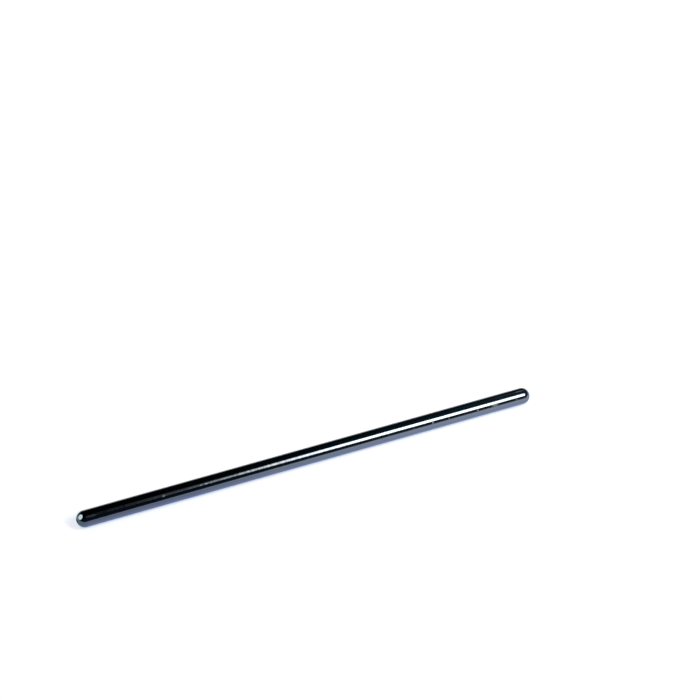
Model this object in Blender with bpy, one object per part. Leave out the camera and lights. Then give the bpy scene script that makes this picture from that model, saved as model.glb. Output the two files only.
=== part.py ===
"""Engine pushrod: one seamless steel tube whose two ends are formed into ball ends.

Blender 4.5, metres, +Z up. The rod lies along +X. The world origin is the centre of the
ball at the lifter end, and the ball at the rocker end lies on +X.

The rod is one piece, so its whole section is one closed profile turned once about the X axis:
the tube's skin and both balls outside, the oil passage inside.
"""

import math

import bmesh
import bpy
from mathutils import Vector

# Driving dimensions
OVERALL_LENGTH = 0.2320        # over both full balls, as if the oil holes didn't cut their tips
TUBE_DIAMETER = 0.0079375      # 5/16 in, and the balls keep the tube's diameter
WALL_THICKNESS = 0.002032      # 0.080 in
NOSE_THICKNESS = 0.0026        # metal gathered behind each tip when the end is formed
OIL_HOLE_DIAMETER = 0.0020     # drilled through each nose, on the axis
OIL_HOLE_EDGE_BREAK = 0.00015  # small chamfer where the oil hole comes out of the ball

# How finely the round forms are divided
SEGMENTS_AROUND = 48
BALL_ARC_STEPS = 12
DOME_ARC_STEPS = 6

# Finish: polished steel with a black oxide coat
BLACK_OXIDE_COLOUR = (0.170, 0.184, 0.225, 1.0)
BLACK_OXIDE_ROUGHNESS = 0.08
BLACK_OXIDE_METALLIC = 1.0

# Sizes that follow from the driving dimensions
BALL_RADIUS = TUBE_DIAMETER / 2
BORE_RADIUS = BALL_RADIUS - WALL_THICKNESS
OIL_HOLE_RADIUS = OIL_HOLE_DIAMETER / 2
RIM_RADIUS = OIL_HOLE_RADIUS + OIL_HOLE_EDGE_BREAK
BALL_SPACING = OVERALL_LENGTH - 2 * BALL_RADIUS

LIFTER_BALL_X = 0.0
ROCKER_BALL_X = BALL_SPACING
SMOOTH_ANGLE = math.radians(30.0)


def arc(centre_x, outward, radius, first_angle, last_angle, steps):
    """Points (x, r) of an arc about a centre on the axis.

    An angle is measured from the axis on the side that faces outward, so 0 is the pole
    and 90 degrees is where the arc is widest.
    """
    points = []
    for step in range(steps + 1):
        angle = first_angle + (last_angle - first_angle) * step / steps
        x = centre_x + outward * radius * math.cos(angle)
        points.append((x, radius * math.sin(angle)))
    return points


def ball_profile(ball_x, outward):
    """The ball's skin, from the rim of the oil hole to where the ball runs into the tube."""
    rim_angle = math.asin(RIM_RADIUS / BALL_RADIUS)
    return arc(ball_x, outward, BALL_RADIUS, rim_angle, math.pi / 2, BALL_ARC_STEPS)


def passage_profile(ball_x, outward):
    """The passage inside one end, from the mouth of the oil hole to the straight bore."""
    tip_x = ball_x + outward * BALL_RADIUS
    rim_x = ball_x + outward * math.sqrt(BALL_RADIUS ** 2 - RIM_RADIUS ** 2)
    mouth_x = rim_x - outward * OIL_HOLE_EDGE_BREAK
    dome_x = tip_x - outward * (NOSE_THICKNESS + BORE_RADIUS)
    hole_angle = math.asin(OIL_HOLE_RADIUS / BORE_RADIUS)
    dome = arc(dome_x, outward, BORE_RADIUS, hole_angle, math.pi / 2, DOME_ARC_STEPS)
    return [(mouth_x, OIL_HOLE_RADIUS)] + dome


def rod_profile():
    """The closed section (x, r): out along the skin, and back along the oil passage."""
    skin = ball_profile(ROCKER_BALL_X, 1.0)
    skin += reversed(ball_profile(LIFTER_BALL_X, -1.0))
    passage = passage_profile(LIFTER_BALL_X, -1.0)
    passage += reversed(passage_profile(ROCKER_BALL_X, 1.0))
    return skin + passage


def turn_profile(name, profile):
    """Turn a closed profile once about the X axis into one solid mesh."""
    bm = bmesh.new()
    corners = [bm.verts.new((x, 0.0, r)) for x, r in profile]
    edges = []
    for index, corner in enumerate(corners):
        edges.append(bm.edges.new((corners[index - 1], corner)))
    bmesh.ops.spin(
        bm,
        geom=corners + edges,
        cent=Vector((0.0, 0.0, 0.0)),
        axis=Vector((1.0, 0.0, 0.0)),
        angle=2.0 * math.pi,
        steps=SEGMENTS_AROUND,
        use_merge=True,
    )
    bmesh.ops.recalc_face_normals(bm, faces=bm.faces)
    mesh = bpy.data.meshes.new(name)
    bm.to_mesh(mesh)
    bm.free()
    mesh.shade_smooth()
    mesh.set_sharp_from_angle(angle=SMOOTH_ANGLE)
    return mesh


def black_oxide_steel():
    """Dark, glossy coated steel."""
    material = bpy.data.materials.new("black_oxide_steel")
    material.use_nodes = True
    shader = material.node_tree.nodes["Principled BSDF"]
    shader.inputs["Base Color"].default_value = BLACK_OXIDE_COLOUR
    shader.inputs["Roughness"].default_value = BLACK_OXIDE_ROUGHNESS
    shader.inputs["Metallic"].default_value = BLACK_OXIDE_METALLIC
    material.diffuse_color = BLACK_OXIDE_COLOUR
    return material


def build_pushrod():
    """The whole rod as one object."""
    mesh = turn_profile("pushrod", rod_profile())
    mesh.materials.append(black_oxide_steel())
    pushrod = bpy.data.objects.new("pushrod", mesh)
    bpy.context.scene.collection.objects.link(pushrod)
    return pushrod


for old_object in list(bpy.data.objects):
    bpy.data.objects.remove(old_object, do_unlink=True)

build_pushrod()
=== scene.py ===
"""Looks of the engine pushrod: the fine surface, its finish, the floor, the lights and the camera.

Everything is in metres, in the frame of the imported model: the rod lies along +X, and the world
origin is the centre of the ball at its left end.
"""

import math

import bmesh
import bpy
from mathutils import Matrix, Vector


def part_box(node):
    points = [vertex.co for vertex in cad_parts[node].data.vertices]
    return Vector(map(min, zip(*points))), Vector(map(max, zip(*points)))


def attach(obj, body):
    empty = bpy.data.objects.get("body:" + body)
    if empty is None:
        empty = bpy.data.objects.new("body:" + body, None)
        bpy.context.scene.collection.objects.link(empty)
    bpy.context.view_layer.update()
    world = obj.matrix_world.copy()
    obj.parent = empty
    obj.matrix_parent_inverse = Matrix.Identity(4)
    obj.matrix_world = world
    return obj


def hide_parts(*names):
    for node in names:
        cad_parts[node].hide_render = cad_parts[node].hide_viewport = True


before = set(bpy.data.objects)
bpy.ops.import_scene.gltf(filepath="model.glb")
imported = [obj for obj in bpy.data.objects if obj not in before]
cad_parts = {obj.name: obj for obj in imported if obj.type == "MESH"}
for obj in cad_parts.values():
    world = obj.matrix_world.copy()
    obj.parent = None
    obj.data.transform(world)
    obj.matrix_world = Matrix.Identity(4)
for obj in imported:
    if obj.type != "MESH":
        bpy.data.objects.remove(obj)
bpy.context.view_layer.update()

# Sizes read from the frame: along the rod, its box ends at the rims of the oil holes
ROD_LOW, ROD_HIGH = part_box("pushrod")
TUBE_RADIUS = (ROD_HIGH.z - ROD_LOW.z) / 2
LEFT_BALL_X = 0.0
RIGHT_BALL_X = ROD_LOW.x + ROD_HIGH.x
MIDDLE_X = RIGHT_BALL_X / 2
RIM_RADIUS = math.sqrt(TUBE_RADIUS ** 2 - ROD_LOW.x ** 2)
FLOOR_Z = ROD_LOW.z

# Sizes of the oil passage, as in the part
WALL_THICKNESS = 0.002032
NOSE_THICKNESS = 0.0026
OIL_HOLE_EDGE_BREAK = 0.00015
BORE_RADIUS = TUBE_RADIUS - WALL_THICKNESS
OIL_HOLE_RADIUS = RIM_RADIUS - OIL_HOLE_EDGE_BREAK

# How finely the round forms are divided
SEGMENTS_AROUND = 192
BALL_ARC_STEPS = 48
RIM_ARC_STEPS = 6
DOME_ARC_STEPS = 16
TUBE_STEPS = 60

# Material slots of the rod's mesh
SKIN_SLOT = 0
PASSAGE_SLOT = 1

# Values that several materials and lights use
ALONG_ROD = Vector((1.0, 0.0, 0.0))
RISE = (0.0, 1.0)
FALL = (1.0, 0.0)
BLACK = (0.0, 0.0, 0.0, 1.0)
WHITE = (1.0, 1.0, 1.0, 1.0)

# Skin: a blue-black coat with a browner bloom here and there. Every noise scale is in cells per
# metre along X, Y and Z, and every range of a noise is a part of its height from 0 to 1
COAT_COLOUR = (0.168, 0.183, 0.228, 1.0)
BLOOM_COLOUR = (0.184, 0.188, 0.216, 1.0)
BLOOM_SCALE = (90.0, 260.0, 260.0)
BLOOM_RANGE = (0.42, 0.72)

# Skin: grinding marks run round the rod, haze lies over them, and the balls are polished finer
GRINDING_SCALE = (5200.0, 70.0, 70.0)
GRINDING_RANGE = (0.25, 0.75)
GRINDING_ROUGHNESS = (0.050, 0.072)
GRINDING_DEPTH = 0.0000006
HAZE_SCALE = (140.0, 420.0, 420.0)
HAZE_RANGE = (0.50, 0.80)
HAZE_ROUGHNESS = (0.0, 0.030)
BALL_ROUGHNESS_SHARE = 0.75
BALL_BLEND = 0.0006

# Skin: slight waviness along the tube
WAVE_SCALE = (150.0, 25.0, 25.0)
WAVE_DEPTH = 0.000045

# Specks of dust and scratches on the skin, and painted highlights and reflections: their finish, and
# where their edges fade, in shares of their half size
SPECK_AND_GLINT_COLOUR = (0.38, 0.43, 0.52, 1.0)
MARK_METALLIC = 0.35
MARK_ADDED_ROUGHNESS = 0.4
MARK_EDGE = (0.4, 1.3)

# Each mark: the distance along the rod, the angle round it from the front towards the top,
# half the mark's length along the rod, half its width round it, and how strong it is
# The marks at 34.5° to 36° and at 51° are specks of dust and fine scratches. Those at 53° to 53.5° are
# painted highlight patches on the fading highlight near the left end, and those at 85.5° to 86° are a
# painted reflection along the top near the right ball.
SPECKS_AND_PAINTED_GLINTS = (
    (0.0021, 53.5, 0.00330, 0.00065, 0.15),
    (0.0375, 51.0, 0.00085, 0.00060, 0.28),
    (0.0561, 53.0, 0.00070, 0.00050, 0.19),
    (0.0589, 53.0, 0.00080, 0.00050, 0.18),
    (0.0611, 53.0, 0.00100, 0.00050, 0.16),
    (0.1516, 34.5, 0.00045, 0.00045, 0.28),
    (0.1647, 34.5, 0.00050, 0.00045, 0.30),
    (0.1748, 34.5, 0.00055, 0.00052, 0.90),
    (0.1833, 34.5, 0.00034, 0.00045, 0.62),
    (0.1987, 34.5, 0.00045, 0.00052, 0.92),
    (0.2080, 36.0, 0.00200, 0.00050, 0.82),
    (0.2197, 34.5, 0.00030, 0.00045, 0.66),
    (0.2150, 86.0, 0.00950, 0.00038, 0.20),
    (0.2222, 85.5, 0.00290, 0.00043, 0.62),
    (0.1990, 86.0, 0.01800, 0.00035, 0.07),
)

# Oil passage: a dull, grainy oxide
BORE_DARK_COLOUR = (0.035, 0.037, 0.040, 1.0)
BORE_LIGHT_COLOUR = (0.085, 0.080, 0.076, 1.0)
BORE_GRAIN_SCALE = (900.0, 2600.0, 2600.0)
BORE_GRAIN_RANGE = (0.2, 0.8)
BORE_ROUGHNESS = (0.40, 0.62)
BORE_GRAIN_DEPTH = 0.00001

# The photograph's view
PICTURE_SIDE_PX = 700
FOCAL_LENGTH_PX = 2880.3
VIEW_TARGET = Vector((0.16271, 0.06336, FLOOR_Z))
VIEW_DISTANCE = 1.4082
VIEW_AZIMUTH = math.radians(-28.145)
VIEW_ELEVATION = math.radians(42.334)
VIEW_ROLL = math.radians(4.793)
VIEW_CLIP_START = 0.01
VIEW_CLIP_END = 50.0
SENSOR_WIDTH_MM = 36.0

# Floor: matt and pale, with a glow for the camera that turns white far from the rod. Under the
# rod's overhang the glow is painted shade, darker and bluer where the floor is sheltered
FLOOR_HALF_SIDE = 4.0
FLOOR_COLOUR = (0.85, 0.82, 0.72, 1.0)
FLOOR_ROUGHNESS = 0.9
FLOOR_NEAR_GLOW = (0.64, 0.675, 0.765, 1.0)
FLOOR_PAINTED_SHADE_GLOW = (0.43, 0.50, 0.70, 1.0)
FLOOR_SHADE_REACH = 3.0 * TUBE_RADIUS
FLOOR_SHADE_RANGE = (0.18, 0.38)
FLOOR_SHADE_SAMPLES = 16
FLOOR_FAR_DISTANCE = (0.16, 0.45)

# Floor as the metal sees it, from left to right: the open floor in front brightens, and the strip
# beside the rod hardly does, which at the right is painted shade under the rod. It is darker beyond the
# left ball, painted shade where the rod's shadow falls, and greyer behind the rod
FLOOR_ACROSS_X = (0.02, 0.19)
FLOOR_OPEN_COLOURS = ((0.13, 0.25, 0.50, 1.0), (0.65, 0.77, 0.97, 1.0))
FLOOR_STRIP_COLOURS = ((0.31, 0.46, 0.82, 1.0), (0.45, 0.62, 0.96, 1.0))
FLOOR_STRIP_Y = (1.3 * TUBE_RADIUS, 4.2 * TUBE_RADIUS)
FLOOR_BEYOND_X = (-2.0 * TUBE_RADIUS, TUBE_RADIUS)
FLOOR_BEYOND_FRONT_COLOUR = (0.08, 0.25, 0.41, 1.0)
FLOOR_BEYOND_BACK_COLOUR = (0.26, 0.46, 0.55, 1.0)
FLOOR_BACK_COLOUR = (0.40, 0.42, 0.45, 1.0)
FLOOR_BACK_Y = (0.0, 2.0 * TUBE_RADIUS)

# Main softbox: its plane is parallel to the rod, above the camera's side, and it is turned in
# that plane. Below, X runs along the rod, and height up across the softbox from its centre
MAIN_BOX_DISTANCE = 1.13
MAIN_BOX_ELEVATION = math.radians(61.9)
MAIN_BOX_TURN = math.radians(-30.0)
MAIN_BOX_CENTRE_X = 0.56
MAIN_BOX_WIDTH = 0.84
MAIN_BOX_HEIGHT = 0.55
MAIN_BOX_RADIANCE = 8.2
MAIN_BOX_COLOUR = (1.0, 0.94, 0.79)

# Its bright part fades out to the left, along a slanted and rounded edge, and is a little
# weaker at the right and bluer at the top
MAIN_BOX_FADE_X = (0.368, 0.565)
MAIN_BOX_FADE_SLANT = 0.02
MAIN_BOX_FADE_ROUNDING = 0.74
MAIN_BOX_RIGHT_X = (0.60, 0.68)
MAIN_BOX_RIGHT_SHARES = (1.0, 0.94)
MAIN_BOX_TOP_HEIGHT = (-0.05, 0.27)
MAIN_BOX_TOP_TINT = (0.80, 1.02, 1.14, 1.0)

# Its dim part, a faint glow left of the fade, is weakest at the far left and gains at the bottom.
# Its tint gives way to the bright part's as that part gains strength
MAIN_BOX_DIM_X = (0.305, 0.375)
MAIN_BOX_DIM_SHARES = (0.0028, 0.0165)
MAIN_BOX_DIM_HEIGHT = (-0.28, -0.05)
MAIN_BOX_DIM_GAINS = (4.5, 1.0)
MAIN_BOX_DIM_TINT = (0.87, 1.0, 1.15, 1.0)
MAIN_BOX_TINT_CHANGE = (0.0, 0.42)

# Left softbox: a large round one, a little behind the rod
LEFT_BOX_DIRECTION = Vector((-0.813, 0.250, 0.527))
LEFT_BOX_DISTANCE = 1.2
LEFT_BOX_DIAMETER = 1.37
LEFT_BOX_RADIANCE = 3.4
LEFT_BOX_COLOUR = (0.88, 1.03, 0.90)

# Studio round the rod: below, X, Y and Z are the parts of a direction, each from -1 to 1, and Y
# runs from the camera's side to the back
STUDIO_FRONT_TO_BACK_Y = (-0.3, 0.3)
STUDIO_DIFFUSE_FILL = (0.22, 0.205, 0.19, 1.0)

# The dark upper studio: slightly lighter low at the front, and teal at the right
DARK_COLOUR = (0.002, 0.003, 0.005, 1.0)
DARK_FRONT_COLOUR = (0.008, 0.022, 0.036, 1.0)
DARK_FRONT_Z = (0.5, 0.9)
DARK_FRONT_Y = (-0.2, 0.2)
TEAL_COLOUR = (0.034, 0.085, 0.105, 1.0)
TEAL_X = (0.28, 0.45)
TEAL_Y = (0.0, 0.7)
TEAL_SHARES = (1.0, 0.4)

# The pale walls at the horizon
WALL_FRONT_COLOUR = (0.72, 0.80, 0.95, 1.0)
WALL_BACK_COLOUR = (0.55, 0.58, 0.61, 1.0)
WALL_LEFT_COLOUR = (0.36, 0.54, 0.60, 1.0)
WALL_LEFT_X = (-0.5, -0.1)

# Where the pale walls fade into the dark: the height Z at which the fade starts, and its length
# in Z, in front and at the back. Where it varies with X it is a sum of steps, each of them a pair
# of limits in X and the values at these
WALL_FADE_START_FRONT = (((-0.3, 0.2), (-0.12, 0.0)), ((0.24, 0.35), (-0.07, 0.07)))
WALL_FADE_START_BACK = 0.0
WALL_FADE_LENGTH_FRONT = (((0.29, 0.39), (0.175, 0.09)),)
WALL_FADE_LENGTH_BACK = (((0.26, 0.31), (0.11, 0.08)), ((0.37, 0.40), (0.0, 0.05)))


def arc(centre_x, outward, radius, first_angle, last_angle, steps):
    """Points (x, r) of an arc about a centre on the axis, its angle measured from the pole."""
    points = []
    for step in range(steps + 1):
        angle = first_angle + (last_angle - first_angle) * step / steps
        x = centre_x + outward * radius * math.cos(angle)
        points.append((x, radius * math.sin(angle)))
    return points


def rim_profile(ball_x, outward):
    """The rounded edge between the oil hole and the ball, from the hole outwards."""
    rim_x = math.sqrt(TUBE_RADIUS ** 2 - RIM_RADIUS ** 2)
    points = []
    for step in range(RIM_ARC_STEPS):
        angle = math.pi / 2 * step / RIM_ARC_STEPS
        x = rim_x - OIL_HOLE_EDGE_BREAK * (1.0 - math.sin(angle))
        r = RIM_RADIUS - OIL_HOLE_EDGE_BREAK * math.cos(angle)
        points.append((ball_x + outward * x, r))
    return points


def end_profile(ball_x, outward):
    """One end of the skin, from the mouth of the oil hole to where the ball meets the tube."""
    rim_angle = math.asin(RIM_RADIUS / TUBE_RADIUS)
    ball = arc(ball_x, outward, TUBE_RADIUS, rim_angle, math.pi / 2, BALL_ARC_STEPS)
    return rim_profile(ball_x, outward) + ball


def passage_profile(ball_x, outward):
    """The passage inside one end, from the straight part of the oil hole to the bore."""
    tip_x = ball_x + outward * TUBE_RADIUS
    dome_x = tip_x - outward * (NOSE_THICKNESS + BORE_RADIUS)
    hole_angle = math.asin(OIL_HOLE_RADIUS / BORE_RADIUS)
    return arc(dome_x, outward, BORE_RADIUS, hole_angle, math.pi / 2, DOME_ARC_STEPS)


def rod_profile():
    """The closed section (x, r), and how many of its points belong to the skin."""
    skin = end_profile(RIGHT_BALL_X, 1.0)
    for step in range(1, TUBE_STEPS):
        share = step / TUBE_STEPS
        skin.append((RIGHT_BALL_X + (LEFT_BALL_X - RIGHT_BALL_X) * share, TUBE_RADIUS))
    skin += reversed(end_profile(LEFT_BALL_X, -1.0))
    passage = passage_profile(LEFT_BALL_X, -1.0)
    passage += reversed(passage_profile(RIGHT_BALL_X, 1.0))
    return skin + passage, len(skin)


def new_object(name, data):
    """An object that is in the scene."""
    made = bpy.data.objects.new(name, data)
    bpy.context.scene.collection.objects.link(made)
    return made


def turned_rod(name):
    """The rod as one fine turned mesh, with a material slot each for its skin and its oil passage."""
    profile, skin_count = rod_profile()
    bm = bmesh.new()
    rings = []
    for segment in range(SEGMENTS_AROUND):
        angle = 2.0 * math.pi * segment / SEGMENTS_AROUND
        ring = [bm.verts.new((x, r * math.sin(angle), r * math.cos(angle))) for x, r in profile]
        rings.append(ring)
    for segment, ring in enumerate(rings):
        previous = rings[segment - 1]
        for index in range(len(profile)):
            face = bm.faces.new((previous[index - 1], previous[index], ring[index], ring[index - 1]))
            face.smooth = True
            face.material_index = SKIN_SLOT if 1 <= index < skin_count else PASSAGE_SLOT
    bmesh.ops.recalc_face_normals(bm, faces=bm.faces)
    mesh = bpy.data.meshes.new(name)
    bm.to_mesh(mesh)
    bm.free()
    return new_object(name, mesh)


def new_material(name):
    """A node material, its tree and its Principled shader."""
    material = bpy.data.materials.new(name)
    material.use_nodes = True
    return material, material.node_tree, material.node_tree.nodes["Principled BSDF"]


def put(tree, socket, value):
    """Set a socket from another node's socket, or from a plain value."""
    if isinstance(value, bpy.types.NodeSocket):
        tree.links.new(value, socket)
    else:
        socket.default_value = value


def coordinates(tree, kind):
    """A place or direction of one of the Texture Coordinate node's kinds."""
    return tree.nodes.new("ShaderNodeTexCoord").outputs[kind]


def split(tree, place):
    """The X, Y and Z of a place or direction."""
    node = tree.nodes.new("ShaderNodeSeparateXYZ")
    put(tree, node.inputs[0], place)
    return node.outputs["X"], node.outputs["Y"], node.outputs["Z"]


def calculate(tree, operation, first, second=0.0):
    """One Math node's result."""
    node = tree.nodes.new("ShaderNodeMath")
    node.operation = operation
    put(tree, node.inputs[0], first)
    put(tree, node.inputs[1], second)
    return node.outputs[0]


def vector_node(tree, operation, first, second):
    """One Vector Math node."""
    node = tree.nodes.new("ShaderNodeVectorMath")
    node.operation = operation
    put(tree, node.inputs[0], first)
    put(tree, node.inputs[1], second)
    return node


def combine(tree, operation, first, second):
    """A vector made from two others, such as their difference."""
    return vector_node(tree, operation, first, second).outputs["Vector"]


def measure(tree, operation, first, second=(0.0, 0.0, 0.0)):
    """A number taken from one or two vectors, such as a length or a distance."""
    return vector_node(tree, operation, first, second).outputs["Value"]


def ramp(tree, value, limits, results, smooth=True):
    """A value carried from one pair of limits to another, and held past its ends."""
    node = tree.nodes.new("ShaderNodeMapRange")
    node.interpolation_type = "SMOOTHSTEP" if smooth else "LINEAR"
    put(tree, node.inputs["Value"], value)
    put(tree, node.inputs["From Min"], limits[0])
    put(tree, node.inputs["From Max"], limits[1])
    put(tree, node.inputs["To Min"], results[0])
    put(tree, node.inputs["To Max"], results[1])
    return node.outputs["Result"]


def sum_of_ramps(tree, value, steps):
    """Several ramps of one value, added up."""
    total = 0.0
    for limits, results in steps:
        total = calculate(tree, "ADD", ramp(tree, value, limits, results), total)
    return total


def blend(tree, data_type, factor, first, second):
    """A mix of two colours (RGBA) or of two numbers (FLOAT)."""
    node = tree.nodes.new("ShaderNodeMix")
    node.data_type = data_type
    put(tree, node.inputs["Factor"], factor)
    put(tree, node.inputs["A"], first)
    put(tree, node.inputs["B"], second)
    return node.outputs["Result"]


def blend_colours(tree, factor, first, second):
    """A mix of two colours."""
    return blend(tree, "RGBA", factor, first, second)


def scaled_noise(tree, place, scale, detail, roughness):
    """Noise with its own number of cells per metre along X, Y and Z."""
    mapping = tree.nodes.new("ShaderNodeMapping")
    put(tree, mapping.inputs["Vector"], place)
    put(tree, mapping.inputs["Scale"], scale)
    noise = tree.nodes.new("ShaderNodeTexNoise")
    put(tree, noise.inputs["Vector"], mapping.outputs["Vector"])
    put(tree, noise.inputs["Scale"], 1.0)
    put(tree, noise.inputs["Detail"], detail)
    put(tree, noise.inputs["Roughness"], roughness)
    return noise.outputs["Fac"]


def bump(tree, height, distance, normal=None):
    """A Bump node, laid over another one's normal if that is given."""
    node = tree.nodes.new("ShaderNodeBump")
    put(tree, node.inputs["Strength"], 1.0)
    put(tree, node.inputs["Distance"], distance)
    put(tree, node.inputs["Height"], height)
    if normal is not None:
        put(tree, node.inputs["Normal"], normal)
    return node.outputs["Normal"]


def specks_and_painted_glints(tree, place):
    """How much of each point is covered by the listed specks of dust and scratches, and by the painted
    highlights and reflections.
    """
    cover = 0.0
    for along, angle, half_length, half_width, strength in SPECKS_AND_PAINTED_GLINTS:
        turn = math.radians(angle)
        centre = Vector((along, -TUBE_RADIUS * math.cos(turn), TUBE_RADIUS * math.sin(turn)))
        offset = combine(tree, "SUBTRACT", place, centre)
        stretch = (1.0 / half_length, 1.0 / half_width, 1.0 / half_width)
        reach = measure(tree, "LENGTH", combine(tree, "MULTIPLY", offset, stretch))
        mark = ramp(tree, reach, MARK_EDGE, (strength, 0.0))
        cover = calculate(tree, "MAXIMUM", mark, cover)
    return cover


def ball_share(tree, along):
    """1 on the two balls and 0 on the tube."""
    left = ramp(tree, along, (LEFT_BALL_X - BALL_BLEND, LEFT_BALL_X + BALL_BLEND), FALL)
    right = ramp(tree, along, (RIGHT_BALL_X - BALL_BLEND, RIGHT_BALL_X + BALL_BLEND), RISE)
    return calculate(tree, "ADD", left, right)


def coat_colour(tree, place):
    """The oxide coat's colour, without its specks and painted glints."""
    bloom = scaled_noise(tree, place, BLOOM_SCALE, detail=3.0, roughness=0.55)
    return blend_colours(tree, ramp(tree, bloom, BLOOM_RANGE, RISE), COAT_COLOUR, BLOOM_COLOUR)


def coat_roughness(tree, place, grinding):
    """The oxide coat's roughness, without its specks and painted glints."""
    haze = scaled_noise(tree, place, HAZE_SCALE, detail=3.0, roughness=0.6)
    tube = calculate(
        tree,
        "ADD",
        ramp(tree, grinding, GRINDING_RANGE, GRINDING_ROUGHNESS, smooth=False),
        ramp(tree, haze, HAZE_RANGE, HAZE_ROUGHNESS),
    )
    ball = calculate(tree, "MULTIPLY", tube, BALL_ROUGHNESS_SHARE)
    along = split(tree, place)[0]
    return blend(tree, "FLOAT", ball_share(tree, along), tube, ball)


def black_oxide_steel():
    """Ground and polished steel under a thin black oxide coat."""
    material, tree, shader = new_material("black_oxide_steel")
    place = coordinates(tree, "Object")
    marks = specks_and_painted_glints(tree, place)
    grinding = scaled_noise(tree, place, GRINDING_SCALE, detail=2.0, roughness=0.6)
    waves = scaled_noise(tree, place, WAVE_SCALE, detail=3.0, roughness=0.6)

    # Specks of dust and scratches, and painted highlights and reflections, lighten the coat's colour here
    colour = blend_colours(tree, marks, coat_colour(tree, place), SPECK_AND_GLINT_COLOUR)
    metallic = ramp(tree, marks, RISE, (1.0, MARK_METALLIC), smooth=False)
    added_roughness = calculate(tree, "MULTIPLY", marks, MARK_ADDED_ROUGHNESS)
    roughness = calculate(tree, "ADD", coat_roughness(tree, place, grinding), added_roughness)
    relief = bump(tree, grinding, GRINDING_DEPTH, bump(tree, waves, WAVE_DEPTH))

    put(tree, shader.inputs["Base Color"], colour)
    put(tree, shader.inputs["Metallic"], metallic)
    put(tree, shader.inputs["Roughness"], roughness)
    put(tree, shader.inputs["Normal"], relief)
    return material


def bore_oxide():
    """The unpolished inside of the oil passage."""
    material, tree, shader = new_material("bore_oxide")
    place = coordinates(tree, "Object")
    grain = scaled_noise(tree, place, BORE_GRAIN_SCALE, detail=4.0, roughness=0.6)
    colour = blend_colours(tree, grain, BORE_DARK_COLOUR, BORE_LIGHT_COLOUR)
    put(tree, shader.inputs["Base Color"], colour)
    put(tree, shader.inputs["Metallic"], 1.0)
    put(tree, shader.inputs["Roughness"], ramp(tree, grain, BORE_GRAIN_RANGE, BORE_ROUGHNESS))
    put(tree, shader.inputs["Normal"], bump(tree, grain, BORE_GRAIN_DEPTH))
    return material


def build_rod():
    """The fine rod, which stands for the CAD node."""
    rod = turned_rod("pushrod_skin")
    rod.data.materials.append(black_oxide_steel())
    rod.data.materials.append(bore_oxide())
    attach(rod, "root")
    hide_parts("pushrod")


def add_camera():
    """The camera at the photograph's viewing angle."""
    across = Vector((math.cos(VIEW_AZIMUTH), math.sin(VIEW_AZIMUTH), 0.0))
    back = Vector((
        math.sin(VIEW_AZIMUTH) * math.cos(VIEW_ELEVATION),
        -math.cos(VIEW_AZIMUTH) * math.cos(VIEW_ELEVATION),
        math.sin(VIEW_ELEVATION),
    ))
    upward = back.cross(across)
    right = math.cos(VIEW_ROLL) * across + math.sin(VIEW_ROLL) * upward
    up = math.cos(VIEW_ROLL) * upward - math.sin(VIEW_ROLL) * across
    data = bpy.data.cameras.new("camera")
    data.sensor_fit = "HORIZONTAL"
    data.sensor_width = SENSOR_WIDTH_MM
    data.lens = FOCAL_LENGTH_PX / PICTURE_SIDE_PX * SENSOR_WIDTH_MM
    data.clip_start = VIEW_CLIP_START
    data.clip_end = VIEW_CLIP_END
    camera = new_object("camera", data)
    turn = Matrix((right, up, back)).transposed().to_4x4()
    camera.matrix_world = Matrix.Translation(VIEW_TARGET + VIEW_DISTANCE * back) @ turn
    bpy.context.scene.camera = camera


def floor_for_metal(tree, place):
    """The floor's glow as the metal sees it, in blues and greys, with painted shade beside the rod and
    beyond its left ball.
    """
    x, y, _ = split(tree, place)
    across = ramp(tree, x, FLOOR_ACROSS_X, RISE)
    open_floor = blend_colours(tree, across, *FLOOR_OPEN_COLOURS)
    strip = blend_colours(tree, across, *FLOOR_STRIP_COLOURS)
    # Painted shade: beside the rod the glow brightens less towards the right
    from_axis = calculate(tree, "ABSOLUTE", y)
    beside = ramp(tree, from_axis, FLOOR_STRIP_Y, FALL, smooth=False)
    front = blend_colours(tree, beside, open_floor, strip)
    # Painted shade: darker beyond the left ball, where the rod's shadow falls
    beyond = ramp(tree, x, FLOOR_BEYOND_X, FALL)
    front = blend_colours(tree, beyond, front, FLOOR_BEYOND_FRONT_COLOUR)
    back = blend_colours(tree, beyond, FLOOR_BACK_COLOUR, FLOOR_BEYOND_BACK_COLOUR)
    behind = ramp(tree, y, FLOOR_BACK_Y, RISE)
    return blend_colours(tree, behind, front, back)


def floor_for_camera(tree, place):
    """The floor's glow as the camera sees it, which with the lamps' light is nearly white, with painted
    shade under the rod's overhang.
    """
    shelter = tree.nodes.new("ShaderNodeAmbientOcclusion")
    shelter.samples = FLOOR_SHADE_SAMPLES
    put(tree, shelter.inputs["Distance"], FLOOR_SHADE_REACH)
    # Painted shade: the glow turns darker and bluer where the floor is sheltered under the rod
    openness = ramp(tree, shelter.outputs["AO"], FLOOR_SHADE_RANGE, RISE)
    near_rod = blend_colours(tree, openness, FLOOR_PAINTED_SHADE_GLOW, FLOOR_NEAR_GLOW)
    distance = measure(tree, "DISTANCE", place, MIDDLE_X * ALONG_ROD)
    far = ramp(tree, distance, FLOOR_FAR_DISTANCE, RISE)
    return blend_colours(tree, far, near_rod, WHITE)


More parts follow.
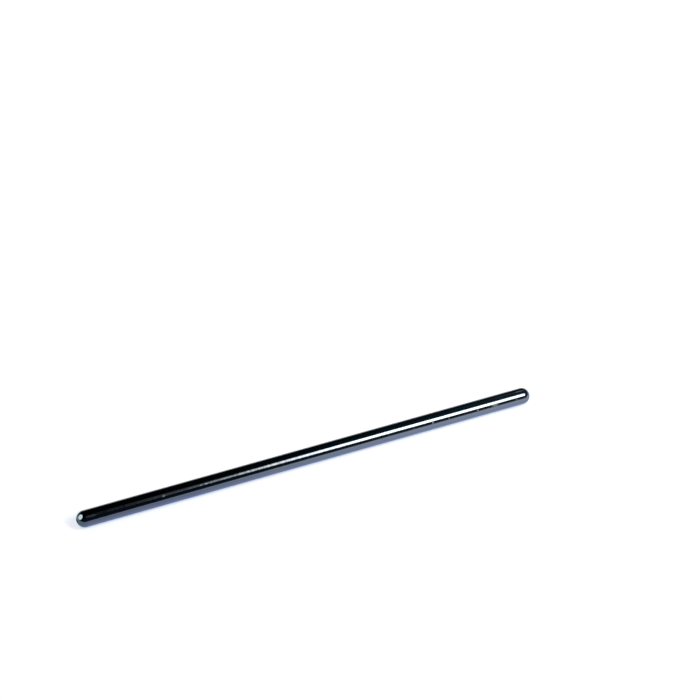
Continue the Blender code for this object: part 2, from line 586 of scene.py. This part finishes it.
def floor_material():
    """A pale matt floor, which keeps the rod's shadow and glows for the camera and the metal."""
    material, tree, shader = new_material("floor")
    put(tree, shader.inputs["Base Color"], FLOOR_COLOUR)
    put(tree, shader.inputs["Roughness"], FLOOR_ROUGHNESS)
    put(tree, shader.inputs["Specular IOR Level"], 0.0)
    place = coordinates(tree, "Object")
    rays = tree.nodes.new("ShaderNodeLightPath")
    for_camera = floor_for_camera(tree, place)
    for_others = blend_colours(tree, rays.outputs["Is Camera Ray"], BLACK, for_camera)
    for_metal = floor_for_metal(tree, place)
    glow = blend_colours(tree, rays.outputs["Is Glossy Ray"], for_others, for_metal)
    put(tree, shader.inputs["Emission Color"], glow)
    put(tree, shader.inputs["Emission Strength"], 1.0)
    return material


def add_floor():
    """A plain pale floor under the rod."""
    half = FLOOR_HALF_SIDE
    mesh = bpy.data.meshes.new("floor")
    corners = [(-half, -half, 0.0), (half, -half, 0.0), (half, half, 0.0), (-half, half, 0.0)]
    mesh.from_pydata(corners, [], [(0, 1, 2, 3)])
    mesh.materials.append(floor_material())
    floor = new_object("floor", mesh)
    floor.location = (0.0, 0.0, FLOOR_Z)


def add_lamp(name, shape, width, height, radiance, colour, turn, centre):
    """An area lamp of a given radiance, not seen by the camera itself."""
    data = bpy.data.lights.new(name, "AREA")
    data.shape = shape
    data.size = width
    area = width * width * math.pi / 4
    if shape == "RECTANGLE":
        data.size_y = height
        area = width * height
    data.color = colour
    data.energy = radiance * math.pi * area
    lamp = new_object(name, data)
    lamp.matrix_world = Matrix.Translation(centre) @ turn.to_4x4()
    lamp.visible_camera = False
    return lamp


def shape_main_softbox(tree, upward):
    """Give the main softbox its bright part, its fade to the left and its dim part."""
    place = tree.nodes.new("ShaderNodeNewGeometry").outputs["Position"]
    along = measure(tree, "DOT_PRODUCT", place, ALONG_ROD)
    height = measure(tree, "DOT_PRODUCT", place, upward)

    # How strong each part is
    slant = calculate(tree, "MULTIPLY", height, MAIN_BOX_FADE_SLANT)
    height_squared = calculate(tree, "MULTIPLY", height, height)
    rounding = calculate(tree, "MULTIPLY", height_squared, -MAIN_BOX_FADE_ROUNDING)
    reach = calculate(tree, "ADD", along, calculate(tree, "ADD", slant, rounding))
    right_share = ramp(tree, along, MAIN_BOX_RIGHT_X, MAIN_BOX_RIGHT_SHARES)
    bright = calculate(tree, "MULTIPLY", ramp(tree, reach, MAIN_BOX_FADE_X, RISE), right_share)
    dim_gain = ramp(tree, height, MAIN_BOX_DIM_HEIGHT, MAIN_BOX_DIM_GAINS)
    dim_share = ramp(tree, along, MAIN_BOX_DIM_X, MAIN_BOX_DIM_SHARES)
    dim = calculate(tree, "MULTIPLY", dim_share, dim_gain)

    # Which tint shows
    upper = ramp(tree, height, MAIN_BOX_TOP_HEIGHT, RISE, smooth=False)
    bright_tint = blend_colours(tree, upper, WHITE, MAIN_BOX_TOP_TINT)
    tint_share = ramp(tree, bright, MAIN_BOX_TINT_CHANGE, RISE, smooth=False)
    tint = blend_colours(tree, tint_share, MAIN_BOX_DIM_TINT, bright_tint)

    emission = tree.nodes["Emission"]
    put(tree, emission.inputs["Color"], tint)
    put(tree, emission.inputs["Strength"], calculate(tree, "ADD", dim, bright))


def add_main_softbox():
    """The main softbox, which makes the long highlight."""
    away = Vector((0.0, -math.cos(MAIN_BOX_ELEVATION), math.sin(MAIN_BOX_ELEVATION)))
    upward = away.cross(ALONG_ROD)
    sideways = math.cos(MAIN_BOX_TURN) * ALONG_ROD + math.sin(MAIN_BOX_TURN) * upward
    turn = Matrix((sideways, away.cross(sideways), away)).transposed()
    centre = MAIN_BOX_DISTANCE * away + MAIN_BOX_CENTRE_X * ALONG_ROD
    lamp = add_lamp(
        "main_softbox", "RECTANGLE", MAIN_BOX_WIDTH, MAIN_BOX_HEIGHT, MAIN_BOX_RADIANCE,
        MAIN_BOX_COLOUR, turn, centre,
    )
    lamp.data.use_nodes = True
    shape_main_softbox(lamp.data.node_tree, upward)


def add_left_softbox():
    """The large round softbox at the left, which only shines in the metal."""
    away = LEFT_BOX_DIRECTION.normalized()
    turn = away.to_track_quat("Z", "Y").to_matrix()
    centre = LEFT_BALL_X * ALONG_ROD + LEFT_BOX_DISTANCE * away
    lamp = add_lamp(
        "left_softbox", "DISK", LEFT_BOX_DIAMETER, LEFT_BOX_DIAMETER, LEFT_BOX_RADIANCE,
        LEFT_BOX_COLOUR, turn, centre,
    )
    lamp.visible_diffuse = False


def dark_studio(tree, x, y, z):
    """The dark upper part of the studio."""
    low = ramp(tree, z, DARK_FRONT_Z, FALL)
    ahead = calculate(tree, "MULTIPLY", low, ramp(tree, y, DARK_FRONT_Y, FALL))
    dark = blend_colours(tree, ahead, DARK_COLOUR, DARK_FRONT_COLOUR)
    rightward = ramp(tree, x, TEAL_X, RISE)
    teal = calculate(tree, "MULTIPLY", rightward, ramp(tree, y, TEAL_Y, TEAL_SHARES))
    return blend_colours(tree, teal, dark, TEAL_COLOUR)


def pale_walls(tree, x, y):
    """The colour of the pale walls at the horizon."""
    backward = ramp(tree, y, STUDIO_FRONT_TO_BACK_Y, RISE)
    walls = blend_colours(tree, backward, WALL_FRONT_COLOUR, WALL_BACK_COLOUR)
    leftward = ramp(tree, x, WALL_LEFT_X, FALL)
    return blend_colours(tree, leftward, walls, WALL_LEFT_COLOUR)


def above_walls(tree, x, y, z):
    """0 on the pale walls, 1 above them, and between these in their fade."""
    start_front = sum_of_ramps(tree, x, WALL_FADE_START_FRONT)
    start = ramp(tree, y, STUDIO_FRONT_TO_BACK_Y, (start_front, WALL_FADE_START_BACK))
    length_front = sum_of_ramps(tree, x, WALL_FADE_LENGTH_FRONT)
    length_back = sum_of_ramps(tree, x, WALL_FADE_LENGTH_BACK)
    length = ramp(tree, y, STUDIO_FRONT_TO_BACK_Y, (length_front, length_back))
    end = calculate(tree, "ADD", start, length)
    return ramp(tree, z, (start, end), RISE)


def add_world():
    """White for the camera, a dim fill for matt surfaces, and a dark studio with pale walls for metal."""
    world = bpy.data.worlds.new("studio")
    bpy.context.scene.world = world
    world.use_nodes = True
    tree = world.node_tree
    rays = tree.nodes.new("ShaderNodeLightPath")
    x, y, z = split(tree, coordinates(tree, "Generated"))
    above = above_walls(tree, x, y, z)
    studio = blend_colours(tree, above, pale_walls(tree, x, y), dark_studio(tree, x, y, z))
    fill = blend_colours(tree, rays.outputs["Is Diffuse Ray"], studio, STUDIO_DIFFUSE_FILL)
    seen = blend_colours(tree, rays.outputs["Is Camera Ray"], fill, WHITE)
    put(tree, tree.nodes["Background"].inputs["Color"], seen)


build_rod()
add_camera()
add_floor()
add_main_softbox()
add_left_softbox()
add_world()
bpy.context.scene.view_settings.view_transform = "Standard"
